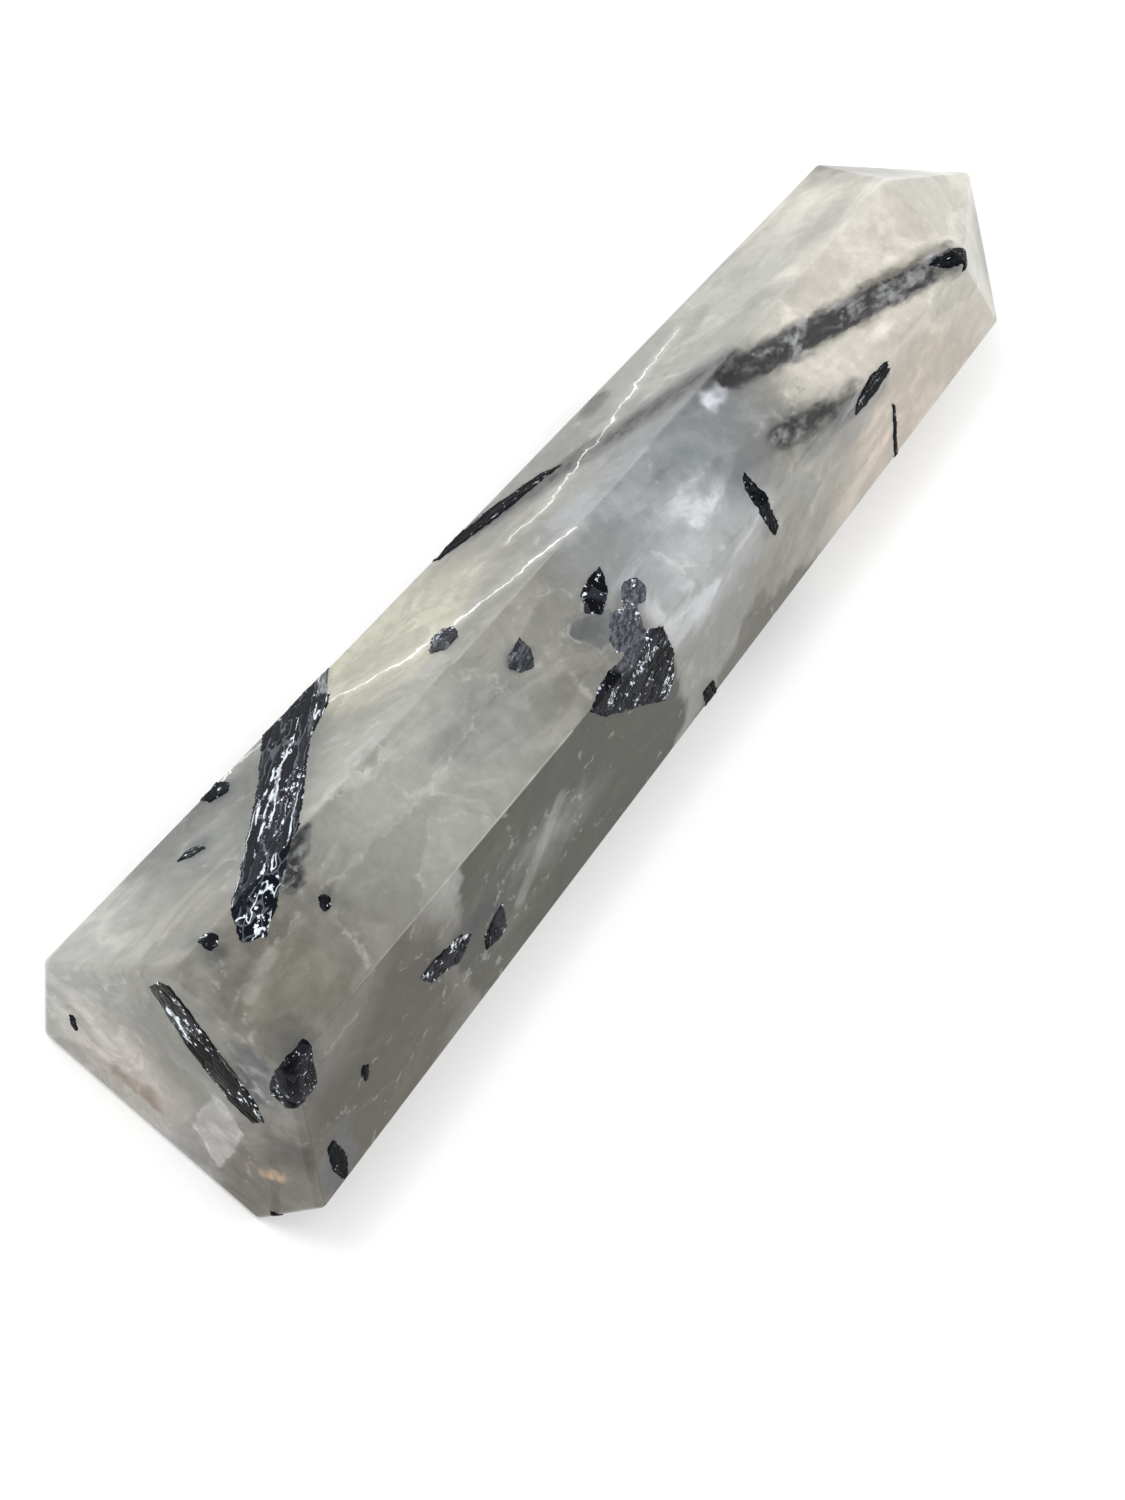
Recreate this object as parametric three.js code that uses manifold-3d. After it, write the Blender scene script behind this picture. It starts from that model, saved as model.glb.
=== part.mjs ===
// A polished obelisk of milky quartz with black tourmaline crystals grown through it, lying on a side.
// The stone is a hand-cut six-sided tower: wide base, narrower shoulder, six-faced tip.
// X runs from the base face (x = 0) to the tip, Y to the left, Z up, in millimetres.
// It rests on its widest side face, at z = 0, and the origin is under the middle of its box.

import * as THREE from "three";
import { ConvexGeometry } from "three/addons/geometries/ConvexGeometry.js";
import { mergeVertices } from "three/addons/utils/BufferGeometryUtils.js";
import Module from "manifold-3d";

const wasm = await Module();
wasm.setup();

// The stone
const LENGTH = 108;
const TIP_HEIGHT = 6.6;
const RIM_BEVEL = 0.5;

// One entry for each long edge, going round from the upper left edge:
// where it starts on the base (y, z), how far along x its shoulder corner is, which side face
// lies between it and the next edge, and how many degrees that face leans in towards the tip.
const LONG_EDGES = [
  { y: 5.2, z: 19.8, shoulder: 95.5, face: "left", lean: 2.1 },
  { y: 12.5, z: 7.8, shoulder: 99, face: "under_left", lean: 1.2 },
  { y: 9.6, z: 0, shoulder: 97, face: "under", lean: 0 },
  { y: -10.6, z: 0, shoulder: 97, face: "under_right", lean: 1.9 },
  { y: -13.1, z: 7.4, shoulder: 98.5, face: "right", lean: 2.1 },
  { y: -4.8, z: 20.3, shoulder: 93.8, face: "top", lean: 3.3 },
];
// The widest corners, on the left and on the right, which set the width of the box.
const WIDEST_LEFT = LONG_EDGES[1];
const WIDEST_RIGHT = LONG_EDGES[4];

// Crystals fill open pockets. A pocket is this much wider than its crystal on every side.
const POCKET_GAP = 0.3;
// Crystals are made this much too long where they break the surface, then cut flush with the stone.
const OVERRUN = 3;
// A crystal that stays inside starts at this scale, and any crystal is widest this far down.
const COVERED_SCALE = 0.8;
const WIDEST_AT = 0.35;

const QUARTZ = { color: 0xc4c1bb, roughness: 0.2, metalness: 0 };
const TOURMALINE = { color: 0x15171b, roughness: 0.35, metalness: 0 };

// Corners closer than this are one corner.
const WELD_DISTANCE = 1e-5;
// At a sharp corner of an outline, the widening goes no further than this many gaps.
const MITRE_LIMIT = 2;

// The long edges as points on the base plane, and the outward plane of each side face.
const baseCorners = LONG_EDGES.map((edge) => new THREE.Vector3(0, edge.y, edge.z));

function centreOf(points) {
  const sum = points.reduce((total, point) => total.add(point), new THREE.Vector3());
  return sum.divideScalar(points.length);
}

function sidePlane(index) {
  const start = baseCorners[index];
  const end = baseCorners[(index + 1) % baseCorners.length];
  const outward = new THREE.Vector3(0, end.z - start.z, start.y - end.y).normalize();
  if (outward.dot(start.clone().sub(centreOf(baseCorners))) < 0) {
    outward.negate();
  }
  outward.x = Math.tan(THREE.MathUtils.degToRad(LONG_EDGES[index].lean));
  return new THREE.Plane().setFromNormalAndCoplanarPoint(outward.normalize(), start);
}

const sidePlanes = LONG_EDGES.map((_, index) => sidePlane(index));

// The point at distance x along a long edge, which is where its two side faces meet.
function edgePoint(index, x) {
  const before = sidePlanes[(index + sidePlanes.length - 1) % sidePlanes.length];
  const direction = before.normal.clone().cross(sidePlanes[index].normal);
  return baseCorners[index].clone().addScaledVector(direction, x / direction.x);
}

function towerPoints() {
  const middle = centreOf(baseCorners);
  const rim = LONG_EDGES.map((_, index) => edgePoint(index, RIM_BEVEL));
  const foot = baseCorners.map((corner) => {
    const inward = middle.clone().sub(corner).setLength(RIM_BEVEL);
    return corner.clone().add(inward);
  });
  const shoulder = LONG_EDGES.map((edge, index) => edgePoint(index, edge.shoulder));
  return [...foot, ...rim, ...shoulder, new THREE.Vector3(LENGTH, 0, TIP_HEIGHT)];
}

// Booleans
function toSolid(geometry) {
  const bare = geometry.index ? geometry.toNonIndexed() : geometry.clone();
  bare.deleteAttribute("normal");
  bare.deleteAttribute("uv");
  const merged = mergeVertices(bare, WELD_DISTANCE);
  const mesh = new wasm.Mesh({
    numProp: 3,
    vertProperties: new Float32Array(merged.attributes.position.array),
    triVerts: new Uint32Array(merged.index.array),
  });
  return new wasm.Manifold(mesh);
}

function toGeometry(solid) {
  const mesh = solid.getMesh();
  const geometry = new THREE.BufferGeometry();
  geometry.setAttribute("position", new THREE.BufferAttribute(mesh.vertProperties, 3));
  geometry.setIndex(new THREE.BufferAttribute(mesh.triVerts, 1));
  const faceted = geometry.toNonIndexed();
  faceted.computeVertexNormals();
  return faceted;
}

function join(solids) {
  return solids.reduce((whole, piece) => whole.add(piece));
}

// A closed skin over rings of points, each with the same count, from the first ring to the last.
function loft(rings, capTriangles) {
  const size = rings[0].length;
  const positions = rings.flat().flatMap((point) => [point.x, point.y, point.z]);
  const indices = [];
  for (let ring = 0; ring + 1 < rings.length; ring += 1) {
    for (let side = 0; side < size; side += 1) {
      const a = ring * size + side;
      const b = ring * size + ((side + 1) % size);
      indices.push(a, a + size, b, b, a + size, b + size);
    }
  }
  const last = (rings.length - 1) * size;
  for (const [a, b, c] of capTriangles) {
    indices.push(a, b, c, last + a, last + c, last + b);
  }
  return outwardSolid(positions, indices);
}

function signedVolume(positions, indices) {
  const corner = (index) => new THREE.Vector3().fromArray(positions, index * 3);
  let sum = 0;
  for (let start = 0; start < indices.length; start += 3) {
    const [a, b, c] = indices.slice(start, start + 3).map(corner);
    sum += a.dot(b.cross(c));
  }
  return sum;
}

function outwardSolid(positions, indices) {
  const turned = signedVolume(positions, indices) < 0 ? indices.toReversed() : indices;
  const geometry = new THREE.BufferGeometry();
  geometry.setAttribute("position", new THREE.Float32BufferAttribute(positions, 3));
  geometry.setIndex(turned);
  return toSolid(geometry);
}

// Moves every side of an outline outwards by a gap.
function widened(outline, gap) {
  const sideNormal = (from, to) => new THREE.Vector2(to.y - from.y, from.x - to.x).normalize();
  return outline.map((point, index) => {
    const before = outline[(index + outline.length - 1) % outline.length];
    const after = outline[(index + 1) % outline.length];
    const first = sideNormal(before, point);
    const second = sideNormal(point, after);
    const reach = gap * Math.min(2 / (1 + first.dot(second)), MITRE_LIMIT);
    const shift = first.add(second).normalize().multiplyScalar(reach);
    return point.clone().add(shift);
  });
}

function scaledAboutMiddle(outline, factor) {
  const middle = outline.reduce((sum, point) => sum.add(point), new THREE.Vector2());
  middle.divideScalar(outline.length);
  return outline.map((point) => point.clone().sub(middle).multiplyScalar(factor).add(middle));
}

// Where a crystal breaks the surface
function planeNamed(face) {
  return sidePlanes[LONG_EDGES.findIndex((edge) => edge.face === face)];
}

function heightOn(plane, x, y) {
  return -(plane.normal.x * x + plane.normal.y * y + plane.constant) / plane.normal.z;
}

// The stone's upper surface over (x, y): the lowest of the three faces that look up.
function upperSurface(x, y) {
  const heights = ["left", "top", "right"].map((face) => heightOn(planeNamed(face), x, y));
  return new THREE.Vector3(x, y, Math.min(...heights));
}

// The lower faces are read the same way from below.
function lowerSurface(x, y) {
  const heights = ["under_left", "under_right"].map((face) => heightOn(planeNamed(face), x, y));
  return new THREE.Vector3(x, y, Math.max(...heights, 0));
}

function basePoint(y, z) {
  return new THREE.Vector3(0, y, z);
}

function inwardFrom(faces) {
  const sum = new THREE.Vector3();
  for (const face of faces) {
    sum.sub(face === "base" ? new THREE.Vector3(-1, 0, 0) : planeNamed(face).normal);
  }
  return sum.normalize();
}

function surfaceFor(faces) {
  if (faces[0] === "base") {
    return basePoint;
  }
  return faces[0].startsWith("under") ? lowerSurface : upperSurface;
}

// Two directions across a given one, to flatten a crystal's outline square to its way in.
// Every way in is either along X, from the base, or nearly square to it, from a side face.
function axesAcross(direction) {
  const alongX = Math.abs(direction.x) > Math.abs(direction.y) + Math.abs(direction.z);
  const first = alongX ? new THREE.Vector3(0, 1, 0) : new THREE.Vector3(1, 0, 0).cross(direction);
  first.normalize();
  return [first, direction.clone().cross(first)];
}

// One lobe of a crystal: its outline where it meets the surface, and how it goes on inside.
// faces: the faces that it breaks, which also give the way in. deep: how far in it ends.
// cover: how far under the surface it starts, where it stays inside. waist: its inner end's scale.
function lobeSolid({ faces, outline, deep, cover = 0, waist = 0.55 }, gap) {
  const surface = surfaceFor(faces);
  const inward = inwardFrom(faces);
  const [first, second] = axesAcross(inward);
  const points = outline.map(([u, v]) => surface(u, v));
  let flat = points.map((point) => new THREE.Vector2(point.dot(first), point.dot(second)));
  if (THREE.ShapeUtils.isClockWise(flat)) {
    flat = flat.toReversed();
  }
  const levels = points.map((point) => point.dot(inward));
  const highest = Math.min(...levels);
  const lowest = Math.max(...levels);
  const ringAt = (level, scale) =>
    widened(scaledAboutMiddle(flat, scale), gap).map((spot) =>
      new THREE.Vector3()
        .addScaledVector(first, spot.x)
        .addScaledVector(second, spot.y)
        .addScaledVector(inward, level),
    );
  const rings = [
    ringAt(cover > 0 ? lowest + cover - gap : highest - OVERRUN, cover > 0 ? COVERED_SCALE : 1),
    ringAt(lowest + cover + (deep - cover) * WIDEST_AT, 1),
    ringAt(lowest + deep + gap, waist),
  ];
  return loft(rings, THREE.ShapeUtils.triangulateShape(flat, []));
}

// A straight rod of uneven six-sided section between two points, for the long thin crystals.
const ROD_SECTION = [1, 0.86, 1.05, 0.92, 1.02, 0.84];

function rodSolid({ from, to, width, flatness = 1, endScale = 1 }, gap) {
  const start = new THREE.Vector3(...from);
  const end = new THREE.Vector3(...to);
  const along = end.clone().sub(start).normalize();
  const across = new THREE.Vector3(0, 0, 1).cross(along).normalize();
  const up = along.clone().cross(across);
  const ringAt = (point, scale) =>
    ROD_SECTION.map((reach, side) => {
      const angle = (side / ROD_SECTION.length) * 2 * Math.PI;
      const radius = (width / 2) * scale;
      return point
        .clone()
        .addScaledVector(across, (radius * reach + gap) * Math.cos(angle))
        .addScaledVector(up, (radius * reach * flatness + gap) * Math.sin(angle));
    });
  const rings = [
    ringAt(start.clone().addScaledVector(along, -gap), 1),
    ringAt(end.clone().addScaledVector(along, gap), endScale),
  ];
  const flat = ROD_SECTION.map((reach, side) => {
    const angle = (side / ROD_SECTION.length) * 2 * Math.PI;
    return new THREE.Vector2(reach * Math.cos(angle), reach * Math.sin(angle));
  });
  return loft(rings, THREE.ShapeUtils.triangulateShape(flat, []));
}

// The crystals. Lobes on the upper and lower faces are outlined in (x, y), on the base in (y, z).
const CRYSTALS = {
  // The long rod enters near the tip, runs under the top face and comes out along the left side.
  long_rod: {
    rods: [{ from: [97, -4.5, 14.7], to: [44, 12.6, 6.9], width: 2.2 }],
  },
  stub_rod: {
    rods: [{ from: [84.5, -6.6, 15.9], to: [64.5, -0.6, 11.2], width: 2.7, endScale: 0.7 }],
  },
  edge_lath: {
    lobes: [
      {
        faces: ["top", "right"],
        outline: [
          [64.2, -1.7], [63.8, -3.1], [63.5, -4.6], [64.7, -6.5], [63.9, -6.7],
          [63.2, -6.0], [62.3, -4.8], [62.2, -3.7], [62.7, -2.8], [63.4, -2.2],
        ],
        deep: 2.4,
      },
    ],
  },
  central_cluster: {
    lobes: [
      {
        faces: ["top", "right"],
        outline: [
          [38.3, -4.6], [40.8, -3.8], [43.9, -3.9], [46.2, -3.3], [48.4, -4.6],
          [49.4, -6.6], [48.9, -8.0], [47.6, -8.4], [44.0, -7.1], [40.2, -5.8],
        ],
        deep: 4.5,
      },
      {
        faces: ["top"],
        outline: [[46.0, -1.2], [47.8, -1.6], [47.9, -2.6], [46.4, -4.3], [43.6, -3.4], [44.2, -2.3]],
        deep: 3.2,
        waist: 0.8,
      },
      {
        faces: ["top"],
        outline: [[49.0, -0.3], [50.1, -0.8], [50.2, -1.8], [48.9, -2.5], [47.4, -2.2], [47.4, -1.2]],
        deep: 3.2,
        waist: 0.8,
      },
      {
        faces: ["top"],
        outline: [[43.9, 1.0], [46.4, 0.4], [46.8, -1.8], [43.4, -3.0], [41.8, -1.3]],
        cover: 0.9,
        deep: 3.4,
        waist: 0.7,
      },
      {
        faces: ["top"],
        outline: [[48.9, 1.7], [47.6, -0.1], [45.4, -0.8], [44.7, 0.2], [45.5, 1.3], [47.5, 1.8]],
        deep: 3,
        waist: 0.8,
      },
    ],
  },
  ridge_crystal: {
    lobes: [
      {
        faces: ["left"],
        outline: [[35.0, 6.6], [36.4, 7.2], [37.9, 7.2], [38.4, 6.6], [37.0, 5.9], [35.5, 5.9]],
        deep: 1.6,
      },
    ],
  },
  drop_crystal: {
    lobes: [
      {
        faces: ["top"],
        outline: [[37.3, 2.4], [39.3, 2.6], [39.3, 1.3], [38.1, 0.4], [36.9, 0.8], [36.6, 1.7]],
        deep: 1.8,
      },
    ],
  },
  big_lath: {
    lobes: [
      {
        faces: ["left"],
        outline: [
          [34.4, 11.9], [31.2, 12.6], [26.6, 12.2], [20.0, 9.6], [10.9, 6.5], [5.9, 4.5],
          [5.1, 3.3], [6.8, 2.2], [10.0, 3.4], [15.6, 5.4], [21.5, 7.6], [25.4, 9.0], [29.2, 9.7],
        ],
        deep: 3.2,
        waist: 0.6,
      },
      {
        faces: ["left"],
        outline: [[18.6, 6.8], [18.4, 5.5], [11.8, 2.8], [10.6, 4.4]],
        cover: 0.8,
        deep: 2.8,
        waist: 0.8,
      },
    ],
  },
  left_rim_crystal: {
    lobes: [
      {
        faces: ["left"],
        outline: [[17.7, 11.3], [18.2, 12.2], [20.2, 12.1], [20.3, 11.3], [19.0, 10.8]],
        deep: 1.5,
      },
    ],
  },
  left_splinter: {
    lobes: [
      {
        faces: ["left"],
        outline: [[11.2, 10.3], [12.5, 10.2], [13.3, 9.8], [12.9, 9.3], [12.0, 9.6]],
        deep: 1.2,
      },
    ],
  },
  top_speck: {
    lobes: [
      {
        faces: ["top"],
        outline: [[11.3, 0.9], [11.8, 1.3], [12.4, 1.0], [12.5, 0.4], [11.9, 0.1], [11.2, 0.2]],
        deep: 1.2,
      },
    ],
  },
  ridge_speck: {
    lobes: [
      {
        faces: ["top", "left"],
        outline: [[3.0, 5.3], [4.1, 5.4], [4.5, 4.7], [3.9, 4.1], [3.0, 4.4]],
        deep: 1.4,
      },
    ],
  },
  right_crystal: {
    lobes: [
      {
        faces: ["right"],
        outline: [[14.7, -7.6], [17.0, -7.6], [19.9, -7.9], [21.2, -8.6], [19.3, -9.2], [15.9, -8.6]],
        deep: 2.8,
        waist: 0.8,
      },
      {
        faces: ["right"],
        outline: [[22.4, -9.4], [24.1, -8.8], [25.2, -8.8], [25.1, -10.2], [23.8, -10.4], [22.4, -10.1]],
        deep: 2.8,
        waist: 0.8,
      },
      {
        faces: ["right"],
        outline: [[18.6, -7.7], [24.8, -8.4], [25.4, -10.0], [23.2, -10.4], [17.5, -8.9]],
        cover: 0.9,
        deep: 3,
        waist: 0.7,
      },
    ],
  },
  right_rim_crystal: {
    lobes: [
      {
        faces: ["right", "under_right"],
        outline: [[52.3, -10.3], [54.0, -10.2], [54.3, -11.4], [52.6, -11.6]],
        deep: 1.3,
      },
    ],
  },
  tip_splinter: {
    lobes: [
      {
        faces: ["right"],
        outline: [[81.8, -7.0], [82.3, -7.4], [82.1, -10.2], [81.4, -10.3]],
        deep: 1.2,
      },
    ],
  },
  right_speck: {
    lobes: [
      {
        faces: ["right"],
        outline: [[6.8, -8.9], [7.3, -8.5], [7.8, -8.8], [7.9, -9.4], [7.2, -9.6]],
        deep: 1.2,
      },
    ],
  },
  foot_crystal: {
    lobes: [
      {
        faces: ["right"],
        outline: [[2.0, -10.4], [2.9, -10.4], [3.9, -12.0], [3.6, -12.9], [2.9, -12.8], [2.0, -11.8]],
        deep: 1.8,
      },
    ],
  },
  base_lath: {
    lobes: [
      {
        faces: ["base"],
        outline: [
          [5.9, 16.0], [5.6, 17.4], [4.9, 18.1], [2.4, 17.1], [-0.8, 15.5], [-5.0, 13.4],
          [-6.0, 12.1], [-5.6, 10.8], [-3.3, 11.1], [0.5, 12.6], [3.2, 14.3],
        ],
        deep: 2.4,
        waist: 0.7,
      },
    ],
  },
  corner_crystal: {
    lobes: [
      {
        faces: ["base"],
        outline: [[-4.8, 15.8], [-4.2, 18.0], [-3.9, 21.0], [-6.2, 19.6], [-7.4, 17.2], [-6.4, 15.9]],
        deep: 2.6,
        waist: 0.9,
      },
      {
        faces: ["base"],
        outline: [[-1.5, 17.0], [-3.0, 18.9], [-5.4, 18.8], [-5.6, 16.8]],
        cover: 0.9,
        deep: 4.2,
        waist: 0.7,
      },
    ],
  },
  base_needle: {
    rods: [{ from: [-2, -11.9, 0.4], to: [7, -8.3, 8.1], width: 1.35, endScale: 0.45 }],
  },
  base_speck: {
    lobes: [
      {
        faces: ["base"],
        outline: [[8.8, 5.0], [8.5, 5.4], [8.1, 4.9], [7.6, 4.0], [7.8, 3.5], [8.4, 4.1]],
        deep: 1,
      },
    ],
  },
  // Crystals on the sides that can't be seen in the usual view.
  under_lath: {
    lobes: [
      {
        faces: ["under_right"],
        outline: [[60.0, -9.6], [61.0, -8.9], [70.4, -8.3], [71.2, -8.8], [69.8, -9.8]],
        deep: 2,
      },
    ],
  },
  under_crystal: {
    lobes: [
      {
        faces: ["under_left"],
        outline: [[66.0, 9.3], [67.4, 8.7], [69.6, 8.6], [70.4, 9.2], [68.8, 9.8], [66.4, 9.9]],
        deep: 2,
      },
    ],
  },
};

function crystalSolid({ lobes = [], rods = [] }, gap) {
  return join([
    ...rods.map((rod) => rodSolid(rod, gap)),
    ...lobes.map((lobe) => lobeSolid(lobe, gap)),
  ]);
}

const tower = toSolid(new ConvexGeometry(towerPoints()));
const crystalList = Object.entries(CRYSTALS);
const pockets = join(crystalList.map(([, crystal]) => crystalSolid(crystal, POCKET_GAP)));

// The part
const obelisk = new THREE.Group();
obelisk.name = "obelisk";
obelisk.position.set(-LENGTH / 2, -(WIDEST_LEFT.y + WIDEST_RIGHT.y) / 2, 0);

function addPiece(name, solid, finish) {
  const mesh = new THREE.Mesh(toGeometry(solid), new THREE.MeshStandardMaterial(finish));
  mesh.name = name;
  obelisk.add(mesh);
}

addPiece("quartz", tower.subtract(pockets), QUARTZ);
for (const [name, crystal] of crystalList) {
  addPiece(name, crystalSolid(crystal, 0).intersect(tower), TOURMALINE);
}

export default obelisk;
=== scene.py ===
"""The looks of a polished milky quartz obelisk with black tourmaline crystals grown through it."""

import logging
import math
from dataclasses import dataclass, field
from enum import Enum
from typing import Iterable

import bmesh
import bpy
import numpy as np
from mathutils import Matrix, Vector, noise


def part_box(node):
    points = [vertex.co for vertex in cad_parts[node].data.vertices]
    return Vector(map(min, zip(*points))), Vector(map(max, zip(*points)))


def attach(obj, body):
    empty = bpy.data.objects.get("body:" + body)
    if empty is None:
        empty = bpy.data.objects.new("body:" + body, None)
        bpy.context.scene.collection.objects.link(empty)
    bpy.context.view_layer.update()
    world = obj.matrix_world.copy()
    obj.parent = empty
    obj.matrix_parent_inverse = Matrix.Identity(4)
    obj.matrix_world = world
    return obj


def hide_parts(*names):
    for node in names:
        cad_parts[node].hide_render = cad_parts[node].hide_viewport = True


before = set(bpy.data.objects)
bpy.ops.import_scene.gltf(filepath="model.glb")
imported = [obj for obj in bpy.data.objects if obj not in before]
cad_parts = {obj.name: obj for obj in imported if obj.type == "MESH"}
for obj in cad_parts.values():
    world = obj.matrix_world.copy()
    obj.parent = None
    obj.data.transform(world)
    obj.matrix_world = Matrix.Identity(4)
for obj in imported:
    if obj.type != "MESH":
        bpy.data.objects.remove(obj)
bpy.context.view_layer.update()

Point = tuple[float, float, float]
Colour = tuple[float, float, float]

LOG = logging.getLogger("obelisk")

MM = 0.001
# Places on the stone are counted from the foot of its base face, with x running to the tip.
FOOT = (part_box("quartz")[0].x / MM, 0.3, 0.0)


class Slot(Enum):
    """The record's material slots."""

    QUARTZ = "milky_quartz"
    TOURMALINE = "black_tourmaline"


def screen_colour(red: int, green: int, blue: int) -> Colour:
    """Gives a linear colour for one read off a screen.

    Args:
        red: The red level, 0 to 255.
        green: The green level, 0 to 255.
        blue: The blue level, 0 to 255.

    Returns:
        The linear colour, each part 0 to 1.
    """
    def linear(level: int) -> float:
        """Undoes a screen's gamma for one level."""
        share = level / 255
        return share / 12.92 if share <= 0.04045 else ((share + 0.055) / 1.055) ** 2.4

    return linear(red), linear(green), linear(blue)


class NodeGraph:
    """Short ways to lay out a material's nodes, in millimetres from the base face's foot."""

    def __init__(self, name: str) -> None:
        """Starts an empty material.

        Args:
            name: The material's name.
        """
        self.material = bpy.data.materials.new(name)
        self.material.use_nodes = True
        self.tree = self.material.node_tree
        self.tree.nodes.clear()
        self.output = self.tree.nodes.new("ShaderNodeOutputMaterial")

    def add(self, kind: str, inputs: dict | None = None, **settings) -> bpy.types.Node:
        """Adds a node and fills its sockets.

        Args:
            kind: The node's type name, without the ShaderNode start.
            inputs: Values or sockets for its inputs, by name or number.
            settings: Its own options.

        Returns:
            The node.
        """
        node = self.tree.nodes.new("ShaderNode" + kind)
        for key, value in settings.items():
            setattr(node, key, value)
        for key, value in (inputs or {}).items():
            if isinstance(value, bpy.types.NodeSocket):
                self.tree.links.new(value, node.inputs[key])
            else:
                node.inputs[key].default_value = value
        return node

    def strayed(self, place, grain: bpy.types.Node, reach: float) -> bpy.types.NodeSocket:
        """Moves a place by up to some millimetres, as a noise texture's colour says."""
        offset = self.vector_math("SUBTRACT", grain.outputs["Color"], (0.5, 0.5, 0.5)).outputs[0]
        return self.add("VectorMath", {0: offset, 1: (reach, reach, reach), 2: place},
                        operation="MULTIPLY_ADD").outputs[0]

    def math(self, operation: str, first, second=0.0) -> bpy.types.NodeSocket:
        """Gives the result of one sum on two numbers or sockets."""
        return self.add("Math", {0: first, 1: second}, operation=operation).outputs[0]

    def vector_math(self, operation: str, first, second=(0.0, 0.0, 0.0)) -> bpy.types.Node:
        """Gives the node of one sum on two vectors."""
        return self.add("VectorMath", {0: first, 1: second}, operation=operation)

    def stations(self) -> bpy.types.NodeSocket:
        """Gives the point being shaded, in millimetres, with x counted from the base face."""
        place = self.add("TexCoord").outputs["Object"]
        scaled = self.add("VectorMath", {0: place, "Scale": 1 / MM}, operation="SCALE").outputs[0]
        return self.vector_math("SUBTRACT", scaled, FOOT).outputs[0]

    def grain(self, place, scale: float, detail: float = 3.0, roughness: float = 0.55,
              distortion: float = 0.0) -> bpy.types.Node:
        """Gives a noise texture's node; scale is in waves to a millimetre."""
        return self.add(
            "TexNoise",
            {"Vector": place, "Scale": scale, "Detail": detail, "Roughness": roughness,
             "Distortion": distortion},
        )

    def stretched(self, place, stretch: Point, turn: Point = (0.0, 0.0, 0.0)) -> bpy.types.NodeSocket:
        """Turns a place by angles in degrees and stretches it, for patterns that run one way."""
        angles = tuple(math.radians(angle) for angle in turn)
        node = self.add("Mapping", {"Vector": place, "Rotation": angles, "Scale": stretch},
                        vector_type="POINT")
        return node.outputs[0]

    def near_line(self, place, start: Point, end: Point) -> bpy.types.NodeSocket:
        """Gives the distance from a place to a straight line between two points."""
        along = Vector(end) - Vector(start)
        away = self.vector_math("SUBTRACT", place, tuple(start)).outputs[0]
        reach = self.vector_math("DOT_PRODUCT", away, tuple(along / along.length_squared)).outputs["Value"]
        held = self.between(reach, 0.0, 1.0, smooth=False)
        foot = self.add("VectorMath", {0: tuple(along), "Scale": held}, operation="SCALE").outputs[0]
        off = self.vector_math("SUBTRACT", away, foot).outputs[0]
        return self.vector_math("LENGTH", off).outputs["Value"]

    def between(self, value, low: float, high: float, to_low: float = 0.0, to_high: float = 1.0,
                smooth: bool = True) -> bpy.types.NodeSocket:
        """Maps a value from one range to another, held at both ends."""
        node = self.add(
            "MapRange", {0: value, 1: low, 2: high, 3: to_low, 4: to_high},
            interpolation_type="SMOOTHSTEP" if smooth else "LINEAR", clamp=True,
        )
        return node.outputs[0]

    def mixed(self, share, first, second) -> bpy.types.NodeSocket:
        """Mixes two numbers; share is how much of the second."""
        return self.add("Mix", {0: share, 2: first, 3: second}, data_type="FLOAT").outputs[0]

    def blend(self, share, first, second, mode: str = "MIX") -> bpy.types.NodeSocket:
        """Mixes two colours; share is how much of the second."""
        node = self.add("Mix", data_type="RGBA", blend_type=mode)
        for index, value in ((0, share), (6, first), (7, second)):
            if isinstance(value, bpy.types.NodeSocket):
                self.tree.links.new(value, node.inputs[index])
            elif index:
                node.inputs[index].default_value = (*value, 1.0)
            else:
                node.inputs[index].default_value = value
        return node.outputs[2]


BASE_FACE = (-1.0, 0.0, 0.0)
RIGHT_FACE = (0.037, -0.84, 0.541)
TOP_FACE = (0.058, 0.05, 0.997)


@dataclass(frozen=True)
class Zone:
    """A soft patch of the stone with a tone of its own, reaching from the surface inwards; one kept to a face
    paints shade.

    Attributes:
        centre: Its middle: station, y and z in millimetres.
        reach: How far it goes each way, in millimetres.
        tone: The colour that it shows.
        milk: How milky it is: the share of light that it scatters at once.
        strength: How much it takes over from what lies under it, 0 to 1.
        core: The share of its reach over which it is full; near 1 gives a hard edge.
        cloud: How far it is broken into wisps, 0 to 1.
        face: The normal of the only face that it shows on, if it keeps to one; such a zone paints shade there.
    """

    centre: Point
    reach: Point
    tone: Colour
    milk: float = 0.5
    strength: float = 1.0
    core: float = 0.3
    cloud: float = 0.0
    face: Point | None = None


@dataclass(frozen=True)
class Fracture:
    """A healed crack: a wavering light line on the surface.

    Attributes:
        points: The points that it runs through, in millimetres.
        width: The line's half width in millimetres.
        strength: How light it is, 0 to 1.
    """

    points: tuple[Point, ...]
    width: float = 0.2
    strength: float = 0.8


@dataclass(frozen=True)
class Glint:
    """A thin straight line painted light: a painted highlight on a polished edge, an inner plane seen on edge
    across a face.

    Attributes:
        start: Its start, in millimetres.
        end: Its end.
        width: Its half width in millimetres.
        strength: How light it is, 0 to 1.
    """

    start: Point
    end: Point
    width: float = 0.2
    strength: float = 0.5


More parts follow.
